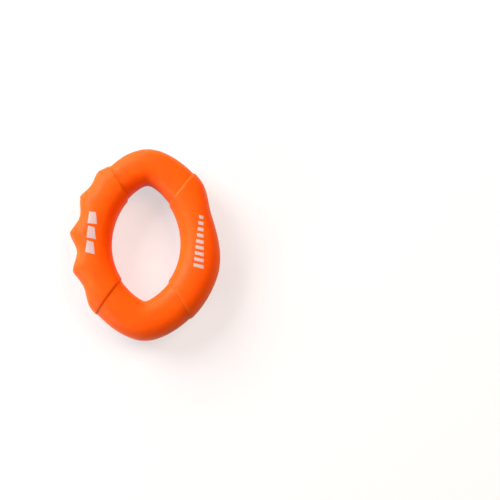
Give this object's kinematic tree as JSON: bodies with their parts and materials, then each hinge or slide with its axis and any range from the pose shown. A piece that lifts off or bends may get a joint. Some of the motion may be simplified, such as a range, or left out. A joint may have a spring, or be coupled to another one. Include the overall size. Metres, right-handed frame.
{
  "type": "hand grip strengthener",
  "caption": "Oval silicone hand exercise ring: a waved palm grip and a scalloped finger grip joined by two flexing end bows round a lens-shaped hole.",
  "frame": {"origin": "centre of the overall box at the underside, where the ring rests on a surface", "axes": "+Z is the ring's axis with the printed face up, +X points to the palm grip, +Y to the end where the index finger lies"},
  "size_m": [0.0716, 0.0916, 0.0212],
  "materials": {
    "silicone": "matte moulded silicone",
    "ink": "pad-printed white ink"
  },
  "bodies": {
    "palm_side": {"palm_grip": "silicone", "upper_bow": "silicone", "lower_bow": "silicone", "scale_bars": "ink"},
    "finger_side": {"finger_grip": "silicone", "level_marks": "ink"}
  },
  "joints": [
    {"name": "squeeze", "type": "slide", "parent": "palm_side", "child": "finger_side", "axis": [1, 0, 0], "range_m": [0, 0.018], "stiffness_N_per_m": 10000, "deforming": ["upper_bow", "lower_bow"]}
  ]
}
